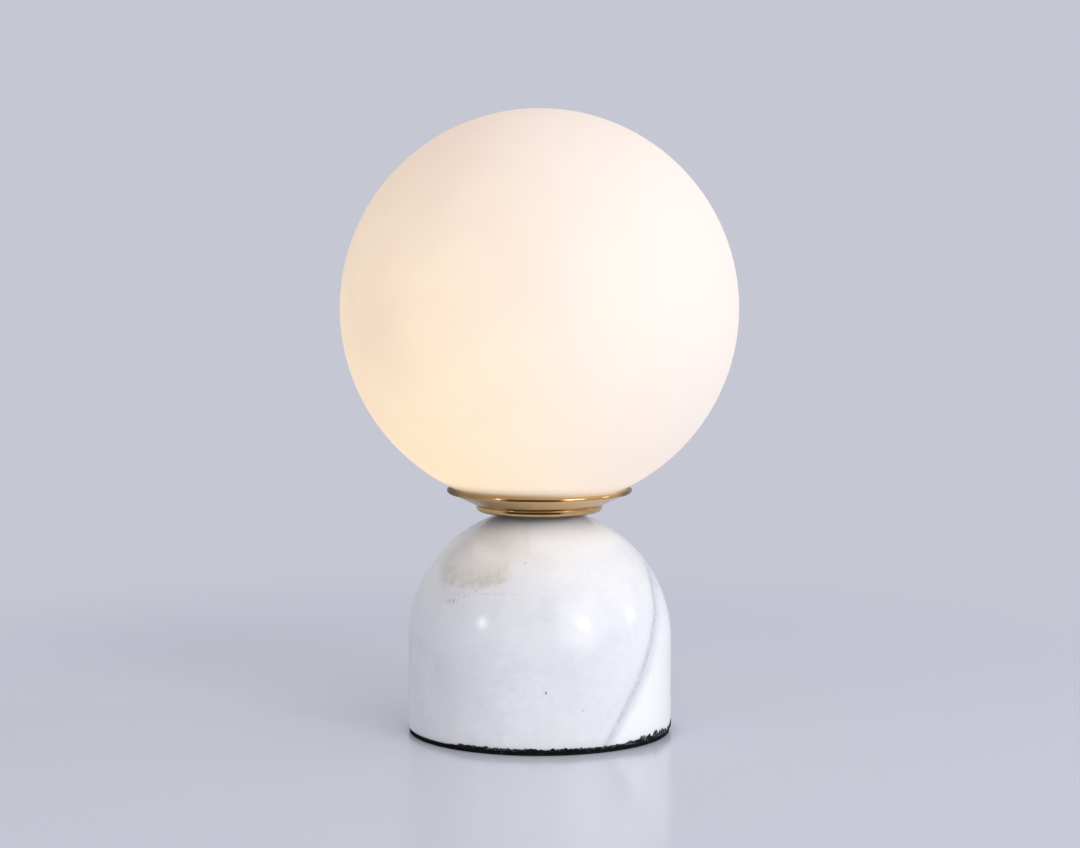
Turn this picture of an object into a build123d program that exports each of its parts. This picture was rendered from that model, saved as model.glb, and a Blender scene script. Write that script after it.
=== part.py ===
from build123d import *
import math
import os

# A glass globe table lamp: a stone dome on a foam foot carries a turned seat disc and a spun metal dish,
# and a glass globe stands in the dish over a two-pin lampholder and its bulb. Three sprung arms reach up
# through the globe's mouth and hook over its inner edge, so the globe pulls straight up off them.
# A hollow threaded rod clamps everything from the recess under the stone to the lampholder's bracket,
# and carries the two leads down to a terminal block in the recess.
#
# Lengths are in millimetres and angles in degrees. +Z is up, the origin is the middle of the foot's
# underside, and the front of the lamp faces -Y. The cord inlet is at the back.

# ---------------------------------------------------------------- sizes: foot and stone
PAD_THICKNESS = 1.5
PAD_INSET = 0.5  # how far the foam foot stays inside the stone's edge
PAD_CHAMFER = 0.3
STONE_DIAMETER = 100.0
STONE_SIDE = 33.5  # straight side, from the foot up to where the dome begins
STONE_FLAT = 18.0  # diameter of the flat on top of the dome
STONE_ARRIS = 1.2  # rounding of the stone's lower edge
ROD_HOLE = 11.0
RECESS_DIAMETER = 64.0
RECESS_DEPTH = 25.5

# ---------------------------------------------------------------- sizes: cord inlet at the back
INLET_HEIGHT = 10.5  # from the table to the inlet's axis
INLET_BORE = 6.5  # takes a round cord of about 6 mm
BUSH_DIAMETER = 10.0
BUSH_REACH = 1.5  # how far the bush stands into the recess
BUSH_FLANGE = 13.0
BUSH_FLANGE_THICKNESS = 1.6
BUSH_CLEARANCE = 0.05

# ---------------------------------------------------------------- sizes: seat disc and dish
DISC_DIAMETER = 48.0
DISC_THICKNESS = 2.2
DISC_TOP_ROUND = 0.5
DISC_BOTTOM_ROUND = 1.4
DISC_RECESS = 0.9  # how far the dish's floor sinks into the disc
DISH_SHEET = 1.0
DISH_FLOOR = 44.0  # diameter of the dish's flat floor
DISH_RIM = 70.0
DISH_BEAD = 1.8  # diameter of the rolled bead round the rim
DISH_SLOPE = 26.0  # of the flank, above level
CONE_GAP = 0.05  # between the dish's flank and the seat disc

# ---------------------------------------------------------------- sizes: globe and gasket
GLOBE_DIAMETER = 150.0
GLASS_WALL = 3.0
MOUTH_DIAMETER = 38.0
LIP_ROUND = 1.2  # fire-polished rounding of the mouth's two edges
GASKET_THICKNESS = 1.25
GASKET_HOLE = 35.6
GASKET_MARGIN = 0.5  # from the gasket's edge to the end of the dish's floor
SEAT_GAP = 0.3  # between the glass and the soft gasket under it

# ---------------------------------------------------------------- sizes: sprung arms that hold the globe
SPRING_SHEET = 0.5
SPRING_HUB = 19.0
ARM_COUNT = 3
ARM_WIDTH = 7.0
ARM_SLOPE = 37.0  # of the stretch that bears on the glass edge, above level
ARM_HOOK = 1.6  # how far the arm's centreline reaches past the mouth's edge
ARM_RUN_IN = 1.6  # from the mouth's edge in to where the arm turns up
ARM_ROOT = 1.0  # how far the arm runs into the hub
ARM_FOOT_LEAN = 1.0
ARM_TIP_LEAN = 4.4
ARM_TIP_RISE = 7.0
ARM_BEND = 1.2
ARM_GAP = 0.2  # between the arm and the glass edge

# ---------------------------------------------------------------- sizes: rod, nuts and washers
ROD_DIAMETER = 10.0
ROD_BORE = 7.0
ROD_ABOVE_NUT = 1.0
ROD_BELOW_NUT = 2.9
THREAD_CLEARANCE = 0.05  # on the radius, between rod and nut
HOLE_CLEARANCE = 0.1  # on the radius, between rod and sheet or washer
NUT_ACROSS_FLATS = 14.0
NUT_THICKNESS = 4.0
TOOTH_WASHER_DIAMETER = 16.0
TOOTH_WASHER_THICKNESS = 0.8
TOOTH_COUNT = 12
TOOTH_DEPTH = 1.6
TOOTH_SLOT = 1.4
FIBRE_WASHER_DIAMETER = 32.0
FIBRE_WASHER_THICKNESS = 1.0
STEEL_WASHER_DIAMETER = 30.0
STEEL_WASHER_THICKNESS = 2.0
SPLIT_WASHER_DIAMETER = 16.5
SPLIT_WASHER_THICKNESS = 1.8
SPLIT_GAP = 1.2
SPLIT_ANGLE = 25.0  # of the cut, from upright

# ---------------------------------------------------------------- sizes: bracket and lampholder
BRACKET_SHEET = 1.5
BRACKET_WIDTH = 15.0
BRACKET_BEND = 2.0
BRACKET_TAB = 7.4
BRACKET_HEADROOM = 1.0  # from the rod's end up to the tabs
HOLDER_WIDTH = 18.8
HOLDER_DEPTH = 24.0
HOLDER_CORNER = 8.0
HOLDER_HEIGHT = 22.0
HOLDER_ROUND = 0.9
POCKET_DEPTH = 6.0
WIRING_WIDTH = 14.4
WIRING_DEPTH = 6.4
WIRING_HEIGHT = 5.2
CHAMBER_ROOF = 2.0
CHAMBER_DEPTH = 4.6
HOLDER_SCREW_PITCH = 15.2
SCREW_DIAMETER = 3.0
SCREW_LENGTH = 20.0
SCREW_HEAD = 5.6
SCREW_HEAD_HEIGHT = 2.0
SCREW_SLOT = 0.8
SCREW_TIP_BELOW_TAB = 0.9
SCREW_CLEARANCE = 0.2
COUNTERBORE_CLEARANCE = 0.3

# ---------------------------------------------------------------- sizes: spring contacts and leads
CONTACT_SHEET = 0.4
CONTACT_WIDTH = 4.8
CONTACT_CLEARANCE = 0.1
CONTACT_HEIGHT = 7.4
CONTACT_FLARE = 0.7
CONTACT_LIFT = 0.6  # from the chamber's foot to the contact's web
CONTACT_BEND = 0.8  # share of half the clip's width that its bends round off
CRIMP_WALL = 0.4
CRIMP_LENGTH = 3.0
LEAD_DIAMETER = 1.8
LEAD_SPACING = 2.5  # of the two leads inside the rod
LEAD_TAIL = 0.5  # straight stretch below the crimp
LEAD_ENTRY = 2.5  # from the rod's top down to where the leads run straight
LEAD_BENDS = (4.5, 9.0, 5.4, 7.0)  # radii of the four bends, from the crimp to the block
LEAD_RUN_IN = 1.8  # straight stretch before the block

# ---------------------------------------------------------------- sizes: bulb
PIN_SPACING = 9.0
PIN_WIRE = 0.9
PIN_LOOP = 2.6
PIN_LENGTH = 8.5
PIN_ROOT = 2.0  # how deep the pins are set in the bulb's base
PIN_CLEARANCE = 0.1
BASE_WIDTH = 13.4
BASE_DEPTH = 5.4
BASE_CORNER = 2.4
POCKET_CLEARANCE = 0.3
BULB_DIAMETER = 15.5
SHOULDER_HEIGHT = 9.0
SHOULDER_ROUND = 1.0
SPIGOT_HEIGHT = 2.5
COVER_WALL = 0.9
COVER_HEIGHT = 34.0
COVER_CLEARANCE = 0.1
BOARD_WIDTH = 9.4
BOARD_THICKNESS = 1.2
BOARD_HEIGHT = 27.0
CHIP_WIDTH = 3.5
CHIP_HEIGHT = 2.8
CHIP_THICKNESS = 0.7
CHIP_COLUMN_PITCH = 4.5
CHIP_ROW_PITCH = 4.8
CHIP_ROWS = 5

# ---------------------------------------------------------------- sizes: terminal block
BLOCK_LENGTH = 16.0
BLOCK_WIDTH = 17.0
BLOCK_HEIGHT = 8.6
BLOCK_ROUND = 1.0
BLOCK_START = 9.0  # from the lamp's axis back to the block
BLOCK_WINDOW = 1.6  # width of the slot for a fixing screw, between the poles
BLOCK_WINDOW_LENGTH = 5.0
TOWER_DIAMETER = 6.2
TOWER_HEIGHT = 12.0
POLE_PITCH = 8.5
SLEEVE_DIAMETER = 5.2
SLEEVE_BORE = 3.4
SLEEVE_INSET = 1.0
SLEEVE_AXIS = 4.8  # above the block's underside
SLEEVE_CLEARANCE = 0.05
TERMINAL_SCREW = 2.6
TERMINAL_HEAD = 3.8
TERMINAL_HEAD_HEIGHT = 1.8
TERMINAL_SCREW_PITCH = 8.0
TERMINAL_HEAD_INSET = 1.2
TERMINAL_HEAD_CLEARANCE = 0.1

# ---------------------------------------------------------------- sizes: roundings
ROUND_LIMIT = 0.9  # the most of a wall that its rounding may take

# ---------------------------------------------------------------- radii and heights that follow from them
stone_radius = STONE_DIAMETER / 2
stone_flat_radius = STONE_FLAT / 2
dome_centre = PAD_THICKNESS + STONE_SIDE
stone_top = dome_centre + math.sqrt(stone_radius**2 - stone_flat_radius**2)
recess_ceiling = PAD_THICKNESS + RECESS_DEPTH
recess_radius = RECESS_DIAMETER / 2
flange_seat = math.sqrt(stone_radius**2 - (BUSH_FLANGE / 2 + BUSH_CLEARANCE) ** 2)
bush_start = recess_radius - BUSH_REACH
bush_length = flange_seat - bush_start

rod_radius = ROD_DIAMETER / 2
sheet_hole = ROD_DIAMETER + 2 * HOLE_CLEARANCE
thread_hole = ROD_DIAMETER + 2 * THREAD_CLEARANCE

disc_top = stone_top + DISC_THICKNESS
dish_bottom = disc_top - DISC_RECESS
dish_floor = dish_bottom + DISH_SHEET
dish_floor_radius = DISH_FLOOR / 2
slope = math.tan(math.radians(DISH_SLOPE))
bead_radius = DISH_BEAD / 2
bead_centre = DISH_RIM / 2 - bead_radius

globe_radius = GLOBE_DIAMETER / 2
inside_radius = globe_radius - GLASS_WALL
mouth_radius = MOUTH_DIAMETER / 2
gasket_top = dish_floor + GASKET_THICKNESS
cushion_radius = globe_radius + SEAT_GAP
globe_centre = gasket_top + math.sqrt(cushion_radius**2 - mouth_radius**2)

spring_middle = dish_floor + SPRING_SHEET / 2
bracket_bottom = dish_floor + SPRING_SHEET
web_top = bracket_bottom + BRACKET_SHEET
top_nut_bottom = web_top + TOOTH_WASHER_THICKNESS
rod_top = top_nut_bottom + NUT_THICKNESS + ROD_ABOVE_NUT
tab_bottom = rod_top + BRACKET_HEADROOM
holder_bottom = tab_bottom + BRACKET_SHEET
holder_top = holder_bottom + HOLDER_HEIGHT
pocket_floor = holder_top - POCKET_DEPTH
wiring_top = holder_bottom + WIRING_HEIGHT
chamber_top = pocket_floor - CHAMBER_ROOF

steel_washer_top = recess_ceiling - FIBRE_WASHER_THICKNESS
split_washer_top = steel_washer_top - STEEL_WASHER_THICKNESS
base_nut_top = split_washer_top - SPLIT_WASHER_THICKNESS
base_nut_bottom = base_nut_top - NUT_THICKNESS
rod_bottom = base_nut_bottom - ROD_BELOW_NUT

screw_offset = HOLDER_SCREW_PITCH / 2
screw_tip = tab_bottom - SCREW_TIP_BELOW_TAB
screw_seat = screw_tip + SCREW_LENGTH

base_bottom = pocket_floor + POCKET_CLEARANCE
shoulder_bottom = holder_top + POCKET_CLEARANCE
shoulder_top = shoulder_bottom + SHOULDER_HEIGHT
spigot_top = shoulder_top + SPIGOT_HEIGHT
cover_top = shoulder_top + COVER_HEIGHT
bulb_radius = BULB_DIAMETER / 2
cover_bore = bulb_radius - COVER_WALL
pin_offset = PIN_SPACING / 2
contact_web = wiring_top + CONTACT_LIFT

block_bottom = PAD_THICKNESS
sleeve_height = block_bottom + SLEEVE_AXIS
block_middle = BLOCK_START + BLOCK_LENGTH / 2
pole_offset = POLE_PITCH / 2
terminal_seat = block_bottom + TOWER_HEIGHT - TERMINAL_HEAD_INSET - TERMINAL_HEAD_HEIGHT

STANDING = (Align.CENTER, Align.CENTER, Align.MIN)


# ---------------------------------------------------------------- helpers
def turned(profile):
    """A round piece, from one half of its section drawn as (radius, height)."""
    return revolve(Plane.XZ * profile, Axis.Z)


def outline(*points):
    """A face inside straight edges that join the points in turn."""
    return make_face(Polyline(*points, close=True))


def ring(diameter, hole, bottom, thickness):
    """A flat ring, such as a washer, standing at a height."""
    return Pos(0, 0, bottom) * extrude(Circle(diameter / 2) - Circle(hole / 2), thickness)


def strip(path, across, thickness, width):
    """A bent strip of sheet along a path. across is the direction of its width where the path starts."""
    start = Plane(origin=path @ 0, x_dir=across, z_dir=path % 0)
    return sweep(start * Rectangle(width, thickness), path=path)


def upright(diameter, x, y, bottom, height):
    """A round bar or hole that stands on a height."""
    return Pos(x, y, bottom) * Cylinder(diameter / 2, height, align=STANDING)


def lengthways(diameter, x, y, z, length):
    """A round bar or hole that runs back along +Y from a point."""
    return Pos(x, y, z) * Rot(-90, 0, 0) * Cylinder(diameter / 2, length, align=STANDING)


def block(width, depth, height, x, y, bottom):
    """A square-cornered block that stands on a height, centred on (x, y)."""
    return Pos(x, y, bottom) * Box(width, depth, height, align=STANDING)


# ---------------------------------------------------------------- foot and stone
def base_pad():
    """The foam foot: a disc with its edges just broken."""
    pad = Cylinder(stone_radius - PAD_INSET, PAD_THICKNESS, align=STANDING)
    return chamfer(pad.edges().filter_by(GeomType.CIRCLE), PAD_CHAMFER)


def stone_base():
    """The stone: a straight drum that runs into a dome, cut flat on top and hollowed from below."""
    rod_hole = ROD_HOLE / 2
    dome_angle = math.degrees(math.acos(stone_flat_radius / stone_radius))
    section = make_face(
        [
            CenterArc((0, dome_centre), stone_radius, 0, dome_angle),
            Polyline(
                (stone_flat_radius, stone_top),
                (rod_hole, stone_top),
                (rod_hole, recess_ceiling),
                (recess_radius, recess_ceiling),
                (recess_radius, PAD_THICKNESS),
                (stone_radius, PAD_THICKNESS),
                (stone_radius, dome_centre),
            ),
        ]
    )
    lower_edge = section.vertices().sort_by_distance((stone_radius, PAD_THICKNESS))[0]
    stone = turned(fillet(lower_edge, STONE_ARRIS))
    inlet = lengthways(BUSH_DIAMETER, 0, 0, INLET_HEIGHT, STONE_DIAMETER)
    spot_face = lengthways(BUSH_FLANGE + 2 * BUSH_CLEARANCE, 0, flange_seat, INLET_HEIGHT, STONE_DIAMETER)
    return stone - inlet - spot_face


def inlet_bush():
    """The flanged bush that lines the cord's way through the stone, with a rounded mouth."""
    body = BUSH_DIAMETER - 2 * BUSH_CLEARANCE
    bush = lengthways(body, 0, bush_start, INLET_HEIGHT, bush_length)
    bush += lengthways(BUSH_FLANGE, 0, flange_seat, INLET_HEIGHT, BUSH_FLANGE_THICKNESS)
    rim = bush.edges().filter_by(GeomType.CIRCLE).sort_by(Axis.Y)[-1]
    bush = fillet(rim, BUSH_FLANGE_THICKNESS / 2)
    through = bush_length + BUSH_FLANGE_THICKNESS
    return bush - lengthways(INLET_BORE, 0, bush_start, INLET_HEIGHT, through)


# ---------------------------------------------------------------- seat disc, dish and gasket
def seat_disc():
    """The turned disc between stone and dish. Its top is dished, so the bowl centres itself in it."""
    radius = DISC_DIAMETER / 2
    bore = sheet_hole / 2
    cone_foot = dish_floor_radius + CONE_GAP
    section = outline(
        (bore, stone_top),
        (radius, stone_top),
        (radius, disc_top),
        (cone_foot + DISC_RECESS / slope, disc_top),
        (cone_foot, dish_bottom),
        (bore, dish_bottom),
    )
    lower = section.vertices().sort_by_distance((radius, stone_top))[0]
    section = fillet(lower, DISC_BOTTOM_ROUND)
    land = radius - cone_foot - DISC_RECESS / slope
    wall = DISC_THICKNESS - DISC_BOTTOM_ROUND
    upper = section.vertices().sort_by_distance((radius, disc_top))[0]
    return turned(fillet(upper, min(DISC_TOP_ROUND, ROUND_LIMIT * land, ROUND_LIMIT * wall)))


def globe_dish():
    """The spun dish: a flat floor, a straight sloping flank and a rim rolled into a round bead."""
    bore = sheet_hole / 2
    rise = DISH_SHEET / math.cos(math.radians(DISH_SLOPE))
    rim_bottom = dish_bottom + (bead_centre - dish_floor_radius) * slope
    inner_turn = dish_floor_radius - (rise - DISH_SHEET) / slope
    section = outline(
        (bore, dish_bottom),
        (dish_floor_radius, dish_bottom),
        (bead_centre, rim_bottom),
        (bead_centre, rim_bottom + rise),
        (inner_turn, dish_floor),
        (bore, dish_floor),
    )
    bead = Pos(bead_centre, rim_bottom + rise / 2) * Circle(bead_radius)
    return turned(section + bead)


def globe_gasket():
    """The soft ring that the glass rests on. Its shoulder follows the globe's curve."""
    hole = GASKET_HOLE / 2
    edge = dish_floor_radius - GASKET_MARGIN
    shoulder = globe_centre - math.sqrt(cushion_radius**2 - edge**2)
    middle = (mouth_radius + edge) / 2
    crown = globe_centre - math.sqrt(cushion_radius**2 - middle**2)
    section = make_face(
        [
            ThreePointArc((mouth_radius, gasket_top), (middle, crown), (edge, shoulder)),
            Polyline(
                (edge, shoulder),
                (edge, dish_floor),
                (hole, dish_floor),
                (hole, gasket_top),
                (mouth_radius, gasket_top),
            ),
        ]
    )
    return turned(section)


# ---------------------------------------------------------------- globe and the arms that hold it
def glass_globe():
    """The blown globe: a shell with a round mouth below, its two edges fire-polished."""
    right_half = Pos(globe_radius / 2, 0) * Rectangle(globe_radius, GLOBE_DIAMETER)
    mouth = Pos(0, -globe_radius) * Rectangle(MOUTH_DIAMETER, globe_radius)
    shell = (Circle(globe_radius) - Circle(inside_radius) - mouth) & right_half
    lip = [v for v in shell.vertices() if abs(v.X - mouth_radius) < LIP_ROUND / 10]
    return turned(Pos(0, globe_centre) * fillet(lip, LIP_ROUND))


def arm_path():
    """The centreline of the arm that points along +X, in the XZ plane, from the hub out to its tip."""
    lip_centre_r = mouth_radius + LIP_ROUND
    lip_centre_z = globe_centre - math.sqrt((inside_radius + LIP_ROUND) ** 2 - lip_centre_r**2)
    lean = math.radians(ARM_SLOPE)
    clear = LIP_ROUND + ARM_GAP + SPRING_SHEET / 2
    touch_r = lip_centre_r - clear * math.sin(lean)
    touch_z = lip_centre_z + clear * math.cos(lean)
    turn_r = mouth_radius - ARM_RUN_IN
    hook_r = mouth_radius + ARM_HOOK
    turn_z = touch_z + (turn_r - touch_r) * math.tan(lean)
    hook_z = touch_z + (hook_r - touch_r) * math.tan(lean)
    return FilletPolyline(
        (SPRING_HUB / 2 - ARM_ROOT, 0, spring_middle),
        (turn_r - ARM_FOOT_LEAN, 0, spring_middle),
        (turn_r, 0, turn_z),
        (hook_r, 0, hook_z),
        (hook_r - ARM_TIP_LEAN, 0, hook_z + ARM_TIP_RISE),
        radius=ARM_BEND,
    )


def globe_spring():
    """One pressing in spring steel: a hub under the bracket and arms that hook over the glass edge."""
    arm = strip(arm_path(), (0, 1, 0), SPRING_SHEET, ARM_WIDTH)
    spring = ring(SPRING_HUB, sheet_hole, dish_floor, SPRING_SHEET)
    # the first arm points back, along +Y, under the bracket
    for number in range(ARM_COUNT):
        spring += Rot(0, 0, 90 + number * 360 / ARM_COUNT) * arm
    return spring - upright(sheet_hole, 0, 0, dish_floor, SPRING_SHEET)


# ---------------------------------------------------------------- rod, nuts and washers
def threaded_rod():
    """The hollow rod that clamps the lamp together and carries the leads."""
    return ring(ROD_DIAMETER, ROD_BORE, rod_bottom, rod_top - rod_bottom)


def nut(bottom):
    """A thin hexagon nut with its corners turned off on both faces."""
    flats = NUT_ACROSS_FLATS / 2
    corner = flats / math.cos(math.radians(30))
    drop = (corner - flats) / 2
    hexagon = extrude(RegularPolygon(flats, 6, major_radius=False), NUT_THICKNESS)
    turned_off = turned(
        outline(
            (thread_hole / 2, 0),
            (flats, 0),
            (corner, drop),
            (corner, NUT_THICKNESS - drop),
            (flats, NUT_THICKNESS),
            (thread_hole / 2, NUT_THICKNESS),
        )
    )
    return Pos(0, 0, bottom) * (hexagon & turned_off)


def tooth_washer():
    """The lock washer under the top nut, with teeth cut round its edge."""
    washer = ring(TOOTH_WASHER_DIAMETER, sheet_hole, web_top, TOOTH_WASHER_THICKNESS)
    slot_middle = TOOTH_WASHER_DIAMETER / 2 - TOOTH_DEPTH / 2
    slot = block(2 * TOOTH_DEPTH, TOOTH_SLOT, TOOTH_WASHER_THICKNESS, slot_middle + TOOTH_DEPTH / 2, 0, web_top)
    for number in range(TOOTH_COUNT):
        washer -= Rot(0, 0, number * 360 / TOOTH_COUNT) * slot
    return washer


def fibre_washer():
    """The fibre washer that keeps steel off the stone."""
    return ring(FIBRE_WASHER_DIAMETER, sheet_hole, steel_washer_top, FIBRE_WASHER_THICKNESS)


def steel_washer():
    """The wide washer that spreads the nut's load over the recess's ceiling."""
    return ring(STEEL_WASHER_DIAMETER, sheet_hole, split_washer_top, STEEL_WASHER_THICKNESS)


def split_washer():
    """The spring lock washer, split across with a slanting cut."""
    washer = ring(SPLIT_WASHER_DIAMETER, sheet_hole, base_nut_top, SPLIT_WASHER_THICKNESS)
    cut = Box(SPLIT_WASHER_DIAMETER, SPLIT_GAP, 3 * SPLIT_WASHER_THICKNESS)
    place = Pos(SPLIT_WASHER_DIAMETER / 2, 0, base_nut_top + SPLIT_WASHER_THICKNESS / 2)
    return washer - place * Rot(SPLIT_ANGLE, 0, 0) * cut


# ---------------------------------------------------------------- bracket, lampholder and screws
def holder_bracket():
    """The bent strap that stands on the rod's washer and carries the lampholder on two tabs."""
    tab_height = tab_bottom + BRACKET_SHEET / 2
    web_height = bracket_bottom + BRACKET_SHEET / 2
    tab_end = screw_offset - BRACKET_TAB / 2
    leg = screw_offset + BRACKET_TAB / 2 - BRACKET_SHEET / 2
    path = FilletPolyline(
        (0, -tab_end, tab_height),
        (0, -leg, tab_height),
        (0, -leg, web_height),
        (0, leg, web_height),
        (0, leg, tab_height),
        (0, tab_end, tab_height),
        radius=BRACKET_BEND,
    )
    bracket = strip(path, (1, 0, 0), BRACKET_SHEET, BRACKET_WIDTH)
    bracket -= upright(sheet_hole, 0, 0, bracket_bottom, BRACKET_SHEET)
    tapped = SCREW_DIAMETER + 2 * THREAD_CLEARANCE
    for side in (-1, 1):
        bracket -= upright(tapped, 0, side * screw_offset, screw_tip, holder_bottom - screw_tip)
    return bracket


def lampholder():
    """The ceramic holder: a pocket for the bulb's base, two contact chambers and a wiring space below."""
    body = extrude(RectangleRounded(HOLDER_WIDTH, HOLDER_DEPTH, HOLDER_CORNER), HOLDER_HEIGHT)
    body = fillet(body.faces().sort_by(Axis.Z)[-1].edges(), HOLDER_ROUND)
    body = Pos(0, 0, holder_bottom) * body
    pocket = RectangleRounded(
        BASE_WIDTH + 2 * POCKET_CLEARANCE, BASE_DEPTH + 2 * POCKET_CLEARANCE, BASE_CORNER + POCKET_CLEARANCE
    )
    body -= Pos(0, 0, pocket_floor) * extrude(pocket, POCKET_DEPTH)
    body -= block(WIRING_WIDTH, WIRING_DEPTH, WIRING_HEIGHT, 0, 0, holder_bottom)
    chamber_width = CONTACT_WIDTH + 2 * CONTACT_CLEARANCE
    slot_width = PIN_LOOP + 2 * POCKET_CLEARANCE
    slot_depth = PIN_WIRE + 2 * POCKET_CLEARANCE
    head_hole = SCREW_HEAD + 2 * COUNTERBORE_CLEARANCE
    for side in (-1, 1):
        x = side * pin_offset
        body -= block(chamber_width, CHAMBER_DEPTH, chamber_top - wiring_top, x, 0, wiring_top)
        body -= block(slot_width, slot_depth, CHAMBER_ROOF, x, 0, chamber_top)
        y = side * screw_offset
        body -= upright(SCREW_DIAMETER + 2 * SCREW_CLEARANCE, 0, y, holder_bottom, HOLDER_HEIGHT)
        body -= upright(head_hole, 0, y, screw_seat, holder_top - screw_seat)
    return body


def holder_screws():
    """The two slotted screws that hold the ceramic down on the bracket's tabs."""
    screw = upright(SCREW_DIAMETER, 0, 0, screw_tip, SCREW_LENGTH)
    head = upright(SCREW_HEAD, 0, 0, screw_seat, SCREW_HEAD_HEIGHT)
    top = head.edges().filter_by(GeomType.CIRCLE).sort_by(Axis.Z)[-1]
    head = fillet(top, SCREW_HEAD_HEIGHT / 3)
    slot_bottom = screw_seat + SCREW_HEAD_HEIGHT / 2
    screw += head
    screw -= block(SCREW_HEAD, SCREW_SLOT, SCREW_HEAD_HEIGHT, 0, 0, slot_bottom)
    return Compound(children=[Pos(0, side * screw_offset, 0) * screw for side in (-1, 1)])


def contact(side):
    """One spring contact: two leaves that grip a pin, flared on top, on a web with a crimp for its lead."""
    leaf = PIN_WIRE / 2 + PIN_CLEARANCE + CONTACT_SHEET / 2
    web = contact_web + CONTACT_SHEET / 2
    neck = contact_web + CONTACT_HEIGHT - 2 * CONTACT_FLARE
    top = contact_web + CONTACT_HEIGHT
    path = FilletPolyline(
        (0, -leaf - CONTACT_FLARE, top),
        (0, -leaf, neck),
        (0, -leaf, web),
        (0, leaf, web),
        (0, leaf, neck),
        (0, leaf + CONTACT_FLARE, top),
        radius=CONTACT_BEND * leaf,
    )
    clip = strip(path, (1, 0, 0), CONTACT_SHEET, CONTACT_WIDTH)
    crimp_bore = LEAD_DIAMETER + 2 * THREAD_CLEARANCE
    crimp = ring(crimp_bore + 2 * CRIMP_WALL, crimp_bore, contact_web - CRIMP_LENGTH, CRIMP_LENGTH)
    return Pos(side * pin_offset, 0, 0) * (clip + crimp)


def lead(side):
    """One insulated lead, from its crimp down through the rod and round into the terminal block."""
    in_rod = side * LEAD_SPACING / 2
    path = FilletPolyline(
        (side * pin_offset, 0, contact_web),
        (side * pin_offset, 0, contact_web - CRIMP_LENGTH - LEAD_TAIL),
        (in_rod, 0, rod_top - LEAD_ENTRY),
        (in_rod, 0, sleeve_height),
        (side * pole_offset, BLOCK_START - LEAD_RUN_IN, sleeve_height),
        (side * pole_offset, block_middle, sleeve_height),
        radius=LEAD_BENDS,
    )
    section = Plane(origin=path @ 0, z_dir=path % 0) * Circle(LEAD_DIAMETER / 2)
    return sweep(section, path=path)


# ---------------------------------------------------------------- bulb
def bulb_base():
    """The bulb's ceramic base: a flat blade that fills the pocket, a round shoulder and a spigot."""
    blade = Pos(0, 0, base_bottom) * extrude(
        RectangleRounded(BASE_WIDTH, BASE_DEPTH, BASE_CORNER), shoulder_bottom - base_bottom
    )
    shoulder = upright(BULB_DIAMETER, 0, 0, shoulder_bottom, SHOULDER_HEIGHT)
    rims = shoulder.edges().filter_by(GeomType.CIRCLE)
    shoulder = fillet(rims.sort_by(Axis.Z)[0], SHOULDER_ROUND)
    spigot = upright(2 * (cover_bore - COVER_CLEARANCE), 0, 0, shoulder_top, SPIGOT_HEIGHT)
    base = blade + shoulder + spigot
    for x in pin_wire_places():
        base -= upright(PIN_WIRE + 2 * THREAD_CLEARANCE, x, 0, base_bottom, PIN_ROOT)
    return base


def pin_wire_places():
    """Where the four straight wires of the two looped pins stand, along X."""
    half_loop = (PIN_LOOP - PIN_WIRE) / 2
    return [side * pin_offset + half * half_loop for side in (-1, 1) for half in (-1, 1)]


def bulb_pins():
    """The two pins, each a loop of wire set in the base."""
    half_loop = (PIN_LOOP - PIN_WIRE) / 2
    turn = base_bottom - PIN_LENGTH + PIN_LOOP / 2
    root = base_bottom + PIN_ROOT
    bottom = turn - half_loop
    loop = Wire(
        [
            Line((-half_loop, 0, root), (-half_loop, 0, turn)),
            ThreePointArc((-half_loop, 0, turn), (0, 0, bottom), (half_loop, 0, turn)),
            Line((half_loop, 0, turn), (half_loop, 0, root)),
        ]
    )
    pin = sweep(Plane(origin=loop @ 0, z_dir=loop % 0) * Circle(PIN_WIRE / 2), path=loop)
    return Compound(children=[Pos(side * pin_offset, 0, 0) * pin for side in (-1, 1)])


def bulb_cover():
    """The clear cover: a thin tube with a domed end that slips over the base's spigot."""
    dome_start = cover_top - bulb_radius
    dome_wall = dome_start - shoulder_top
    outside = Pos(bulb_radius / 2, dome_wall / 2) * Rectangle(bulb_radius, dome_wall)
    inside = Pos(cover_bore / 2, dome_wall / 2) * Rectangle(cover_bore, dome_wall)
    right_half = Pos(bulb_radius / 2, 0) * Rectangle(bulb_radius, 4 * COVER_HEIGHT)
    outside += (Pos(0, dome_wall) * Circle(bulb_radius)) & right_half
    inside += (Pos(0, dome_wall) * Circle(cover_bore)) & right_half
    above_foot = Pos(bulb_radius / 2, COVER_HEIGHT / 2) * Rectangle(bulb_radius, COVER_HEIGHT)
    return turned(Pos(0, shoulder_top) * ((outside - inside) & above_foot))


def led_board():
    """The upright circuit board inside the bulb."""
    return block(BOARD_WIDTH, BOARD_THICKNESS, BOARD_HEIGHT, 0, 0, spigot_top)


def led_chips():
    """The light-emitting chips, in rows on both faces of the board."""
    chip = Box(CHIP_WIDTH, CHIP_THICKNESS, CHIP_HEIGHT)
    off_board = BOARD_THICKNESS / 2 + CHIP_THICKNESS / 2
    first_row = spigot_top + BOARD_HEIGHT / 2 - (CHIP_ROWS - 1) / 2 * CHIP_ROW_PITCH
    chips = []
    for face in (-1, 1):
        for column in (-1, 1):
            for row in range(CHIP_ROWS):
                place = Pos(column * CHIP_COLUMN_PITCH / 2, face * off_board, first_row + row * CHIP_ROW_PITCH)
                chips.append(place * chip)
    return Compound(children=chips)


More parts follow.
